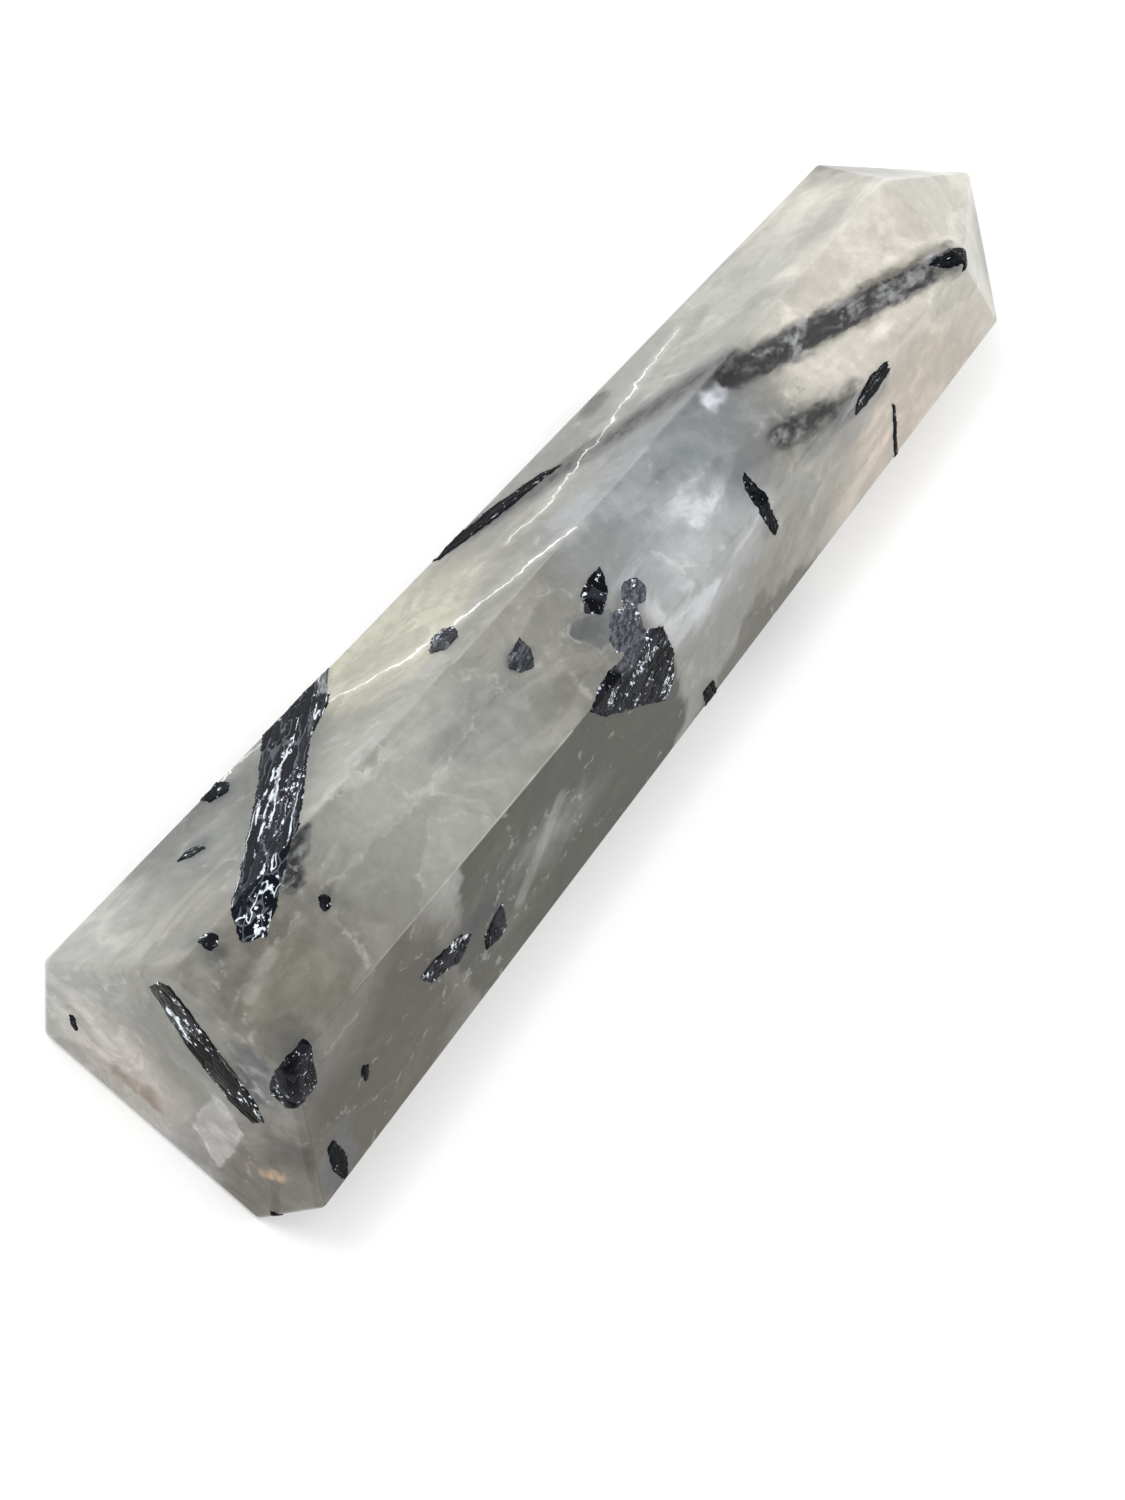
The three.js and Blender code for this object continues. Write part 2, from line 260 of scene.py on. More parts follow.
@dataclass(frozen=True)
class Plane:
    """A flat inner plane of the crystal that shows on a face as a patch with corners and a light rim.

    Attributes:
        face: The normal of the face that it shows on.
        corners: Its corners, going round, in millimetres.
        tone: The colour that it shows.
        milk: How milky it is.
        strength: How far it takes over, 0 to 1.
        rim: How light its rim is, 0 to 1.
        blur: How soft its border is, in millimetres.
    """

    face: Point
    corners: tuple[Point, ...]
    tone: Colour
    milk: float = 0.5
    strength: float = 0.7
    rim: float = 0.4
    blur: float = 0.35

    def sides(self) -> list[tuple[Vector, float]]:
        """Gives each side's outward direction within the face, and how far along it the side is."""
        middle = sum((Vector(corner) for corner in self.corners), Vector()) / len(self.corners)
        sides = []
        for start, end in zip(self.corners, self.corners[1:] + self.corners[:1]):
            outward = (Vector(end) - Vector(start)).cross(Vector(self.face)).normalized()
            if outward.dot(Vector(start) - middle) < 0:
                outward.negate()
            sides.append((outward, outward.dot(Vector(start))))
        return sides


@dataclass(frozen=True)
class Window:
    """A streak of clear stone, through which a crystal shows from inside; where it has shade, painted shade
    darkens it.

    Attributes:
        start: One end of the streak on the surface, in millimetres.
        end: Its other end.
        reach: Its half width, over which it fades, in millimetres.
        strength: How clear it is, 0 to 1.
        shade: How far painted shade darkens the stone over the crystal, 0 to 1.
    """

    start: Point
    end: Point
    reach: float
    strength: float = 1.0
    shade: float = 0.0


@dataclass(frozen=True)
class QuartzFinish:
    """Polished quartz: half see-through, with veils, stains, healed cracks, a hard polish, painted shade and
    painted highlights.

    Attributes:
        tone: The colour that most of the stone shows.
        milk: The share of light that most of the stone scatters at once.
        scattered: The light that a white scattering surface sends back.
        inner: The light that comes back out of clear stone.
        gloss: The light that the polish adds.
        thread: The colour of healed cracks and sparks, and of the painted highlights.
        window: How milky the stone is over a crystal that shows from inside.
        wisp: How milky the wisps are there.
        clear_tint: The colour of the stone there.
        painted_shade_tint: The colour of the painted shade where a crystal darkens the stone.
        windows: Where crystals show from inside, some with painted shade over them.
        glints: Thin straight light lines painted on the surface; those on edges are painted highlights.
        planes: Inner planes that show as patches with corners.
        refraction: The index of refraction.
        haze: The roughness that blurs what lies deeper.
        coat: How strong the polish is, 0 to 1.
        polish: The roughness of the polish.
        absorption: The colour left by a metre of stone at the density below.
        absorption_density: How strongly the stone absorbs.
        zones: The stone's tones, the later over the earlier; those kept to the right face are painted shade.
        halo: The darker tone painted close round a small crystal: painted shade where it meets the quartz, and
            its sunk part seen through.
        halo_milk: How milky it is there.
        haloed: The crystals that have such a halo.
        cracked_face: The normal of the face that the healed cracks run over.
        fractures: The healed cracks.
        fracture_bloom: How light the stone is close beside a crack, against the crack itself.
        vein: How light the veils between grown parts are, 0 to 1.
        vein_wander: How far those veils bend, in millimetres.
        fleck: How light the small flecks are, 0 to 1.
    """

    tone: Colour = screen_colour(166, 165, 160)
    milk: float = 0.45
    scattered: float = 1.2
    inner: float = 0.58
    gloss: float = 0.03
    thread: Colour = screen_colour(246, 245, 240)
    window: float = 0.02
    wisp: float = 0.24
    clear_tint: Colour = (0.93, 0.95, 0.96)
    painted_shade_tint: Colour = (0.02, 0.023, 0.03)
    windows: tuple[Window, ...] = (
        Window((94.6, -3.3, 14.6), (69.9, 3.5, 15.9), 1.9),
        Window((71.3, 4.3, 15.7), (48.8, 10.7, 7.4), 2.9, 0.45, 1.0),
        Window((80.3, -5.4, 14.0), (69.0, -2.2, 16.1), 2.0, 0.75),
        Window((0.0, -11.1, 2.1), (0.0, -8.6, 8.4), 0.6, 0.45, 0.3),
        Window((14.9, 5.1, 18.8), (11.3, 3.6, 19.2), 1.3, 0.9, 0.6),
        Window((0.0, -2.6, 17.4), (0.0, -3.9, 14.8), 2.6, 0.8),
        Window((66.7, 10.0, 7.2), (65.1, 9.8, 7.7), 1.6, 0.6),
        # Painted shade only: a dark streak joining the two ends of right_crystal.
        Window((23.7, -8.2, 13.4), (21.1, -8.0, 13.9), 2.2, 0.0, 0.85),
    )
    glints: tuple[Glint, ...] = (
        # The first two are painted highlights along the long polished edges; the last two are light lines across
        # faces.
        Glint((2.5, -4.8, 20.2), (36.0, -4.57, 18.2), 0.13, 0.32),
        Glint((34.0, 4.9, 17.8), (60.0, 4.7, 16.3), 0.15, 0.15),
        Glint((6.2, 1.2, 19.6), (2.2, 0.3, 19.9), 0.7, 0.12),
        Glint((33.4, -7.1, 14.4), (27.1, -9.7, 10.9), 1.0, 0.14),
    )
    planes: tuple[Plane, ...] = (
        Plane(BASE_FACE, ((0, -2.5, 7.6), (0, -2.7, 4.9), (0, -5.9, 2.7), (0, -5.7, 5.7), (0, -5.2, 8.8),
                          (0, -2.3, 10.3)), screen_colour(206, 205, 202), 0.6, 0.7, 0.3),
        Plane(TOP_FACE, ((42.9, 0.4, 17.5), (43.9, 0.4, 17.5), (46.3, -0.8, 17.5), (45.6, -2.9, 17.6),
                         (42.9, -2.7, 17.7), (42.2, -0.2, 17.6)), screen_colour(136, 140, 144), 0.4, 0.7, 0.3),
    )
    refraction: float = 1.544
    haze: float = 0.3
    coat: float = 0.25
    polish: float = 0.05
    absorption: Colour = (0.86, 0.87, 0.84)
    absorption_density: float = 4.0
    zones: tuple[Zone, ...] = (
        Zone((55, 0, -3), (80, 20, 13), screen_colour(224, 224, 220), 0.1, 1.0, 0.6),
        Zone((106, 0, 9), (32, 34, 34), screen_colour(212, 209, 201), 0.5, 1.0, 0.5),
        Zone((101, 7, 9), (7, 6, 8), screen_colour(132, 131, 126), 0.5, 0.9, 0.4),
        Zone((104, -6, 8), (7, 6, 10), screen_colour(156, 151, 141), 0.5, 0.9, 0.4),
        Zone((78, 8, 11), (22, 9, 12), screen_colour(182, 183, 178), 0.5, 0.9, 0.3),
        Zone((84, 1, 18), (18, 9, 8), screen_colour(214, 210, 202), 0.65, 0.95, 0.5),
        Zone((84, -10, 8), (17, 8, 12), screen_colour(196, 187, 175), 0.65, 0.95, 0.5),
        Zone((65, -10, 9), (7, 7, 8), screen_colour(160, 155, 145), 0.55, 0.85, 0.3),
        Zone((62, 3, 16), (12, 9, 7), screen_colour(164, 168, 171), 0.45, 0.9, 0.3),
        Zone((56, -4, 17), (10, 7, 6), screen_colour(208, 211, 214), 0.65, 0.95, 0.5, 0.4),
        Zone((52, 2, 17), (8, 7, 6), screen_colour(176, 180, 183), 0.5, 0.9, 0.4, 0.3),
        Zone((36, 10, 11), (13, 6, 8), screen_colour(188, 186, 170), 0.6, 0.95, 0.55),
        Zone((16, 11, 11), (13, 8, 10), screen_colour(140, 142, 139), 0.4, 0.9, 0.35),
        Zone((26, 2, 19), (15, 12, 7), screen_colour(180, 181, 176), 0.55, 0.9, 0.3),
        # Kept to the right face, these paint it darker: painted shade of the shaded inside seen through clear
        # stone, browner towards the base, with a lighter cloudy band.
        Zone((60, -12, 6), (11, 4, 5), screen_colour(112, 109, 100), 0.75, 0.9, 0.8, 0.0, RIGHT_FACE),
        Zone((34.5, -9, 13), (16, 12, 16), screen_colour(80, 80, 71), 0.75, 1.0, 0.9, 0.0, RIGHT_FACE),
        Zone((33, -8, 13), (10, 2.4, 5), screen_colour(132, 132, 128), 0.7, 0.85, 0.0, 0.5, RIGHT_FACE),
        Zone((24, -9, 12), (9, 9, 9), screen_colour(104, 103, 95), 0.7, 0.7, 0.2, 0.5, RIGHT_FACE),
        Zone((9, -9, 13), (13, 12, 16), screen_colour(92, 87, 75), 0.75, 0.95, 0.6, 0.0, RIGHT_FACE),
        Zone((5, -2, 20), (10, 11, 7), screen_colour(130, 127, 120), 0.6, 0.85, 0.3),
        Zone((1, 11, 6), (11, 9, 12), screen_colour(180, 180, 176), 0.7, 0.95, 0.35),
        Zone((0, 3, 4), (6, 9, 7), screen_colour(184, 179, 172), 0.7, 0.9, 0.4),
        Zone((0, -9, 6), (3, 8, 14), screen_colour(128, 122, 114), 0.6, 0.95, 0.35),
        Zone((31.6, 1, 18), (7, 4, 5), screen_colour(148, 149, 148), 0.5, 0.75, 0.2),
        Zone((12.7, 9.5, 11.8), (6, 4, 5), screen_colour(158, 160, 157), 0.5, 0.7, 0.2),
        Zone((55, -3.6, 17), (4, 3, 3), screen_colour(226, 229, 232), 0.7, 0.6, 0.2, 0.5),
        Zone((61, 1.3, 16.5), (4.5, 3.5, 3), screen_colour(148, 153, 157), 0.45, 0.6, 0.2),
        Zone((82.7, -9, 8.2), (6, 4, 5), screen_colour(208, 196, 184), 0.6, 0.75, 0.2),
        # Painted shade on the right face, as above.
        Zone((19.7, -11.6, 8.4), (6, 4, 4), screen_colour(84, 80, 70), 0.7, 0.7, 0.2, 0.3, RIGHT_FACE),
        Zone((0, -8.6, 11.5), (3, 4, 4), screen_colour(92, 89, 84), 0.6, 0.7, 0.3),
        Zone((0, 4.1, 4.8), (3, 4, 3.5), screen_colour(206, 200, 194), 0.7, 0.7, 0.3),
        Zone((67.6, 3.4, 16), (1.4, 1.7, 1.4), screen_colour(236, 241, 248), 0.9, 0.9, 0.3),
        Zone((0, -9.4, 7.6), (1.6, 1.6, 1.3), screen_colour(214, 184, 150), 0.7, 0.75, 0.2),
        Zone((0, 2.5, 3.4), (2, 5, 1.3), screen_colour(158, 142, 130), 0.6, 0.7, 0.3),
        Zone((0, 7.5, 6.5), (2, 4, 1.5), screen_colour(204, 202, 198), 0.7, 0.7, 0.3),
    )
    halo: Colour = screen_colour(122, 126, 129)
    halo_milk: float = 0.3
    haloed: tuple[str, ...] = (
        "left_rim_crystal", "top_speck", "ridge_speck", "left_splinter", "corner_crystal",
        "foot_crystal", "ridge_crystal", "drop_crystal",
    )
    cracked_face: Point = (0.037, 0.854, 0.519)
    fractures: tuple[Fracture, ...] = (
        Fracture(((76.0, 9.0, 8.2), (61.8, 7.9, 10.9), (52.8, 7.5, 12.3), (48.4, 7.8, 12.0)), 0.14, 0.85),
        Fracture(((50.5, 4.7, 17.0), (42.6, 6.0, 15.5), (36.3, 7.2, 13.9), (32.0, 8.6, 12.0),
                  (29.2, 9.8, 10.2)), 0.17, 0.95),
        Fracture(((25.1, 11.3, 8.1), (20.0, 11.9, 7.4)), 0.17, 0.85),
    )
    fracture_bloom: float = 0.22
    vein: float = 0.14
    vein_wander: float = 2.2
    fleck: float = 0.15

    def base_colour(self, tone: Colour, milk: float) -> Colour:
        """Finds the colour that makes stone of some milkiness show a tone.

        Args:
            tone: The colour to be shown.
            milk: The share of light that is scattered at once.

        Returns:
            The colour, which tints both the scattered and the passing light.
        """
        def part(shown: float) -> float:
            """Solves for one part of the colour; light that passes is tinted by its root."""
            square, linear = self.scattered * milk, self.inner * (1 - milk)
            wanted = max(shown - self.gloss, 0.002)
            root = (math.sqrt(linear ** 2 + 4 * square * wanted) - linear) / (2 * square)
            return min(root ** 2, 0.97)

        return tuple(part(shown) for shown in tone)

    def halos(self) -> list[Zone]:
        """Gives a soft darker zone round each crystal: painted shade where it meets the quartz, and its sunk
        part seen through.
        """
        zones = []
        for name in self.haloed:
            points = node_points([name]) - np.array(FOOT)
            low, high = points.min(0), points.max(0)
            reach = tuple(float(size) * 0.5 + 1.3 for size in high - low)
            centre = tuple(float(place) for place in (low + high) / 2)
            zones.append(Zone(centre, reach, self.halo, self.halo_milk, 0.55, 0.35))
        return zones

    def cloud(self, graph: NodeGraph, place: bpy.types.NodeSocket) -> bpy.types.NodeSocket:
        """Gives the long wisps that run through the stone, 0 to 1."""
        along = graph.stretched(place, (0.5, 1.0, 1.0), (0.0, 0.0, 14.0))
        wisps = graph.grain(along, 0.2, 4.0, 0.62, 1.3).outputs[0]
        return graph.between(wisps, 0.42, 0.66)

    def zoned(self, graph: NodeGraph, place: bpy.types.NodeSocket,
              cloud: bpy.types.NodeSocket) -> tuple[bpy.types.NodeSocket, bpy.types.NodeSocket]:
        """Lays the zones over the stone.

        Args:
            graph: The material being made.
            place: The point being shaded, in millimetres.
            cloud: The wisps.

        Returns:
            The sockets of the colour and of the milkiness.
        """
        warped = graph.strayed(place, graph.grain(place, 0.17, 3.0, 0.6), 7.0)
        normal = graph.add("TexCoord").outputs["Normal"]
        colour: bpy.types.NodeSocket | Colour = self.base_colour(self.tone, self.milk)
        milk: bpy.types.NodeSocket | float = self.milk
        for zone in (*self.zones, *self.halos()):
            shrink = tuple(1 / size for size in zone.reach)
            back = tuple(-middle / size for middle, size in zip(zone.centre, zone.reach))
            scaled = graph.add("VectorMath", {0: warped, 1: shrink, 2: back}, operation="MULTIPLY_ADD")
            distance = graph.vector_math("LENGTH", scaled.outputs[0]).outputs["Value"]
            share = graph.between(distance, zone.core, 1.0, zone.strength, 0.0)
            if zone.cloud:
                broken = graph.between(cloud, 0.0, 1.0, 1.0 - zone.cloud, 1.0, smooth=False)
                share = graph.math("MULTIPLY", share, broken)
            # Kept to one face, the zone paints shade on that face alone.
            if zone.face:
                facing = graph.vector_math("DOT_PRODUCT", normal, zone.face).outputs["Value"]
                share = graph.math("MULTIPLY", share, graph.between(facing, 0.93, 0.97))
            colour = graph.blend(share, colour, self.base_colour(zone.tone, zone.milk))
            milk = graph.mixed(share, milk, zone.milk)
        return colour, milk

    def planed(self, graph: NodeGraph, place: bpy.types.NodeSocket, wander: bpy.types.Node,
               colour: bpy.types.NodeSocket,
               milk: bpy.types.NodeSocket) -> tuple[bpy.types.NodeSocket, bpy.types.NodeSocket]:
        """Lays the inner planes over the stone.

        Args:
            graph: The material being made.
            place: The point being shaded, in millimetres.
            wander: The noise that makes their borders uneven.
            colour: The stone's colour so far.
            milk: Its milkiness so far.

        Returns:
            The sockets of the colour and of the milkiness.
        """
        normal = graph.add("TexCoord").outputs["Normal"]
        place = graph.strayed(place, wander, 1.5)
        broken = graph.between(wander.outputs[0], 0.42, 0.58, 0.3, 1.0)
        for plane in self.planes:
            past: bpy.types.NodeSocket | float = -1e3
            for outward, reach in plane.sides():
                along = graph.vector_math("DOT_PRODUCT", place, tuple(outward)).outputs["Value"]
                past = graph.math("MAXIMUM", past, graph.math("SUBTRACT", along, reach))
            facing = graph.vector_math("DOT_PRODUCT", normal, plane.face).outputs["Value"]
            shown = graph.between(facing, 0.93, 0.97)
            share = graph.between(past, -plane.blur, plane.blur, plane.strength, 0.0)
            share = graph.math("MULTIPLY", graph.math("MULTIPLY", shown, share),
                               graph.between(wander.outputs[0], 0.4, 0.6, 0.7, 1.0))
            colour = graph.blend(share, colour, self.base_colour(plane.tone, plane.milk))
            milk = graph.mixed(share, milk, plane.milk)
            rim = graph.between(graph.math("ABSOLUTE", past), 0.04, 0.22, plane.rim, 0.0)
            rim = graph.math("MULTIPLY", graph.math("MULTIPLY", shown, rim), broken)
            colour = graph.blend(rim, colour, self.thread)
        return colour, milk

    def cracks(self, graph: NodeGraph, place: bpy.types.NodeSocket,
               wander: bpy.types.Node) -> bpy.types.NodeSocket:
        """Draws the healed cracks, and the glints: painted highlights on the edges and light lines across faces.

        Args:
            graph: The material being made.
            place: The point being shaded, in millimetres.
            wander: The noise that makes the cracks waver.

        Returns:
            A socket that is 1 on a crack or a painted glint and 0 away from it.
        """
        offset = graph.vector_math("SUBTRACT", wander.outputs["Color"], (0.5, 0.5, 0.5)).outputs[0]
        lift = graph.vector_math("DOT_PRODUCT", offset, self.cracked_face).outputs["Value"]
        off = graph.add("VectorMath", {0: self.cracked_face, "Scale": lift}, operation="SCALE").outputs[0]
        flat = graph.vector_math("SUBTRACT", offset, off).outputs[0]
        strayed = graph.add("VectorMath", {0: flat, 1: (2.4, 2.4, 2.4), 2: place},
                            operation="MULTIPLY_ADD").outputs[0]
        broken = graph.between(wander.outputs[0], 0.35, 0.6, 0.6, 1.0)
        total: bpy.types.NodeSocket | float = 0.0
        for crack in self.fractures:
            for start, end in zip(crack.points, crack.points[1:]):
                distance = graph.near_line(strayed, start, end)
                line = graph.between(distance, crack.width * 0.3, crack.width, crack.strength, 0.0)
                bloom = graph.between(distance, 0.0, crack.width * 8, crack.strength * self.fracture_bloom, 0.0)
                total = graph.math("MAXIMUM", total, graph.math("MAXIMUM", line, bloom))
        # Painted highlights: straight light lines along the polished edges and across faces.
        for glint in self.glints:
            distance = graph.near_line(place, glint.start, glint.end)
            line = graph.between(distance, glint.width * 0.3, glint.width, glint.strength, 0.0)
            total = graph.math("MAXIMUM", total, line)
        return graph.math("MULTIPLY", total, broken)

    def cleared(self, graph: NodeGraph,
                place: bpy.types.NodeSocket) -> tuple[bpy.types.NodeSocket, bpy.types.NodeSocket]:
        """Opens the windows over the crystals inside.

        Args:
            graph: The material being made.
            place: The point being shaded, in millimetres.

        Returns:
            The sockets of how clear the stone is and how far painted shade darkens it over a crystal, both 0 to
            1.
        """
        total: bpy.types.NodeSocket | float = 0.0
        shaded: bpy.types.NodeSocket | float = 0.0
        for window in self.windows:
            distance = graph.near_line(place, window.start, window.end)
            share = graph.between(distance, window.reach * 0.25, window.reach * 1.1, window.strength, 0.0)
            total = graph.math("MAXIMUM", total, share)
            if window.shade:
                shade = graph.between(distance, window.reach * 0.1, window.reach * 0.7, window.shade, 0.0)
                shaded = graph.math("MAXIMUM", shaded, shade)
        return total, shaded

    def grown(self, graph: NodeGraph, place: bpy.types.NodeSocket, wander: bpy.types.Node,
              cloud: bpy.types.NodeSocket) -> tuple[bpy.types.NodeSocket, bpy.types.NodeSocket]:
        """Gives the fine unevenness of natural quartz.

        Args:
            graph: The material being made.
            place: The point being shaded, in millimetres.
            wander: The noise that bends the veils.
            cloud: The wisps.

        Returns:
            The sockets of how much to lighten or darken the stone, and of how far its fine
            veils and flecks take over.
        """
        strayed = graph.strayed(place, wander, self.vein_wander)
        leaning = graph.stretched(strayed, (0.45, 1.0, 1.0), (8.0, 0.0, 20.0))
        cells = graph.add("TexVoronoi", {"Vector": leaning, "Scale": 0.16})
        borders = graph.add("TexVoronoi", {"Vector": leaning, "Scale": 0.16}, feature="DISTANCE_TO_EDGE")
        plane = graph.between(graph.add("SeparateColor", {0: cells.outputs["Color"]}).outputs[0],
                              0.0, 1.0, 0.84, 1.08, smooth=False)
        mottle = graph.grain(place, 0.9, 3.0, 0.68).outputs[0]
        shade = graph.math("MULTIPLY", plane, graph.between(mottle, 0.3, 0.7, 0.88, 1.1, smooth=False))
        shade = graph.math("MULTIPLY", shade, graph.between(cloud, 0.0, 1.0, 0.92, 1.2))
        vein = graph.between(borders.outputs["Distance"], 0.004, 0.03, self.vein, 0.0)
        vein = graph.math("MULTIPLY", vein, graph.between(mottle, 0.5, 0.62))
        flecks = graph.grain(graph.stretched(place, (1.0, 1.6, 1.6)), 2.1, 1.0, 0.5).outputs[0]
        fleck = graph.between(flecks, 0.755, 0.79, 0.0, self.fleck)
        return shade, graph.math("MAXIMUM", vein, fleck)

    def material(self) -> bpy.types.Material:
        """Builds the finish."""
        graph = NodeGraph("polished_milky_quartz")
        place = graph.stations()
        cloud = self.cloud(graph, place)
        wander = graph.grain(place, 0.5, 3.0, 0.6)
        colour, milk = self.zoned(graph, place, cloud)
        colour, milk = self.planed(graph, place, wander, colour, milk)
        fray = graph.grain(graph.stretched(place, (0.5, 1.0, 1.0), (0.0, 0.0, 18.0)), 0.9, 3.0, 0.65)
        clear, shaded = self.cleared(graph, graph.strayed(place, fray, 1.8))
        wisp = graph.between(fray.outputs[0], 0.46, 0.74, self.window, self.wisp)
        milk = graph.mixed(graph.between(clear, 0.05, 0.8), milk, wisp)
        colour = graph.blend(graph.between(clear, 0.35, 1.0, 0.0, 0.9), colour, self.clear_tint)
        streaks = graph.between(fray.outputs[0], 0.35, 0.6, 1.0, 0.5)
        # Painted shade over the buried crystals, broken into streaks.
        colour = graph.blend(graph.math("MULTIPLY", shaded, streaks), colour, self.painted_shade_tint)
        shade, light = self.grown(graph, place, wander, cloud)
        scaled = graph.add("VectorMath", {0: colour, "Scale": shade}, operation="SCALE").outputs[0]
        # The thread colour paints the cracks, veins and flecks, and the painted highlights of the glints.
        crack = graph.math("MAXIMUM", self.cracks(graph, place, wander), light)
        colour = graph.blend(crack, scaled, self.thread)
        milk = graph.mixed(crack, milk, 0.9)
        waves = graph.grain(place, 0.5, 1.0, 0.5).outputs[0]
        bump = graph.add("Bump", {"Height": waves, "Strength": 0.05, "Distance": 0.0004})
        shader = graph.add(
            "BsdfPrincipled",
            {"Base Color": colour, "Roughness": self.haze, "IOR": self.refraction,
             "Transmission Weight": graph.math("SUBTRACT", 1.0, milk),
             "Specular IOR Level": 0.1, "Specular Tint": (0.1, 0.1, 0.1, 1.0), "Coat Weight": self.coat,
             "Coat Roughness": self.polish, "Coat IOR": 1.5, "Normal": bump.outputs[0],
             "Coat Normal": bump.outputs[0]},
        )
        volume = graph.add("VolumeAbsorption",
                           {"Color": (*self.absorption, 1.0), "Density": self.absorption_density})
        graph.tree.links.new(shader.outputs[0], graph.output.inputs["Surface"])
        graph.tree.links.new(volume.outputs[0], graph.output.inputs["Volume"])
        return graph.material


@dataclass(frozen=True)
class TourmalineFinish:
    """Black tourmaline: blades along its length, with white quartz threads between and sparks that are partly
    painted glints.

    Attributes:
        black: The colour of most blades.
        sheen: The colour of the lightest blades: partly their own grey, partly painted sheen.
        quartz: The colour of the threads and sparks; the sparks are partly quartz and partly painted glints.
        blade: The blades' length and width in millimetres.
        thread: The half width of the threads in millimetres.
        threaded: The share of the crystal that has threads.
        stranded: How light the lengthwise threads are, 0 to 1.
        cracked: How light the cracks between blades are, 0 to 1.
        sparked: The share of the crystal that has sparks.
        spark_size: How large the sparks are, in millimetres.
        spark_stretch: How narrow they are along the blades, against their width.
        spark_line: The line along which sparks crowd, if they do.
        spark_reach: How far from that line they go, in millimetres.
        pale_end: The middle line of a blade that is pale and half clear, if there is one.
        pale: Its colour.
        pale_reach: Its half width, in millimetres.
        ribbing: How far the fine ribs show, 0 to 1.
        roughness: How dull the blades are.
    """

    black: Colour = (0.002, 0.0025, 0.0035)
    sheen: Colour = (0.02, 0.024, 0.03)
    quartz: Colour = screen_colour(214, 222, 230)
    blade: tuple[float, float] = (3.0, 0.7)
    thread: float = 0.05
    threaded: float = 0.35
    stranded: float = 1.0
    cracked: float = 0.3
    sparked: float = 0.4
    spark_size: float = 0.25
    spark_stretch: float = 0.6
    spark_line: tuple[Point, Point] | None = None
    spark_reach: float = 1.7
    pale_end: tuple[Point, Point] | None = None
    pale: Colour = screen_colour(128, 132, 134)
    pale_reach: float = 1.5
    ribbing: float = 1.0
    roughness: float = 0.35

    def material(self, name: str, axis: Vector) -> bpy.types.Material:
        """Builds the finish for one crystal.

        Args:
            name: The crystal's name.
            axis: The way that its blades run.

        Returns:
            The material.
        """
        graph = NodeGraph("tourmaline_" + name)
        place = graph.stations()
        turn = axis.to_track_quat("X", "Z").inverted().to_euler()
        degrees = tuple(math.degrees(angle) for angle in turn)
        turned = graph.stretched(place, (1.0, 1.0, 1.0), degrees)
        strayed = graph.strayed(turned, graph.grain(turned, 0.8, 3.0, 0.6), 0.5)
        length, width = self.blade
        bladed = graph.vector_math("MULTIPLY", strayed, (width / length, 1.0, 1.0)).outputs[0]
        edge = graph.add("TexVoronoi", {"Vector": bladed, "Scale": 1 / width},
                         feature="DISTANCE_TO_EDGE").outputs["Distance"]
        cells = graph.add("TexVoronoi", {"Vector": bladed, "Scale": 1 / width})
        lightness = graph.add("SeparateColor", {0: cells.outputs["Color"]}).outputs[0]
        ribs = graph.grain(graph.stretched(strayed, (0.4, 5.0, 5.0)), 1.0, 3.0, 0.6).outputs[0]
        ribbed = graph.between(ribs, 0.35, 0.75, 1.0 - self.ribbing, 1.0)
        tone = graph.math("MULTIPLY", graph.between(lightness, 0.3, 1.0), ribbed)
        # Lighter blades, most on the ribs: their own grey, partly painted sheen.
        colour = graph.blend(tone, self.black, self.sheen)
        if self.pale_end:
            near = graph.near_line(place, *self.pale_end)
            share = graph.between(near, self.pale_reach * 0.7, self.pale_reach, 1.0, 0.0)
            lines = graph.between(ribs, 0.4, 0.62, 0.25, 1.0)
            colour = graph.blend(graph.math("MULTIPLY", share, lines), colour, self.pale)
        patch = graph.grain(graph.stretched(turned, (0.35, 1.0, 1.0)), 0.8, 4.0, 0.65).outputs[0]
        half = self.thread / width
        crossing = graph.between(edge, half * 0.3, half, self.cracked, 0.0)
        strands = graph.grain(graph.stretched(strayed, (0.03, 1.0, 1.0)), 0.6 / width, 2.0, 0.5).outputs[0]
        strand = graph.math("ABSOLUTE", graph.math("SUBTRACT", strands, 0.5))
        along = graph.between(strand, half * 0.12, half * 0.35, self.stranded, 0.0)
        edges = 0.62 - 0.24 * self.threaded
        line = graph.math("MULTIPLY", graph.math("MAXIMUM", along, crossing),
                          graph.between(patch, edges, edges + 0.06))
        # Sparks: white specks, partly quartz grains and partly painted glints.
        spark = graph.grain(graph.stretched(strayed, (self.spark_stretch, 1.0, 1.0)),
                            1 / self.spark_size, 3.0, 0.7).outputs[0]
        spots = 0.68 - 0.24 * self.sparked
        sparked = graph.between(patch, spots, spots + 0.08)
        if self.spark_line:
            near = graph.near_line(place, *self.spark_line)
            sparked = graph.math("MAXIMUM", graph.math("MULTIPLY", sparked, 0.35),
                                 graph.between(near, 0.3, self.spark_reach, 1.0, 0.0))
        lifted = graph.math("ADD", spark, graph.between(sparked, 0.0, 1.0, -0.12, 0.0, smooth=False))
        spark = graph.between(lifted, 0.545, 0.585)
        share = graph.math("MAXIMUM", line, graph.math("MULTIPLY", spark, 0.92))
        colour = graph.blend(share, colour, self.quartz)
        relief = graph.math("ADD", graph.between(edge, 0.0, half * 2), ribs)
        bump = graph.add("Bump", {"Height": relief, "Strength": 0.6, "Distance": 0.00008})
        # The blades' own reflection is kept faint; the painted sheen and glints stand in for it.
        shader = graph.add(
            "BsdfPrincipled",
            {"Base Color": colour, "Roughness": self.roughness, "IOR": 1.63, "Specular IOR Level": 0.02,
             "Normal": bump.outputs[0]},
        )
        graph.tree.links.new(shader.outputs[0], graph.output.inputs["Surface"])
        return graph.material


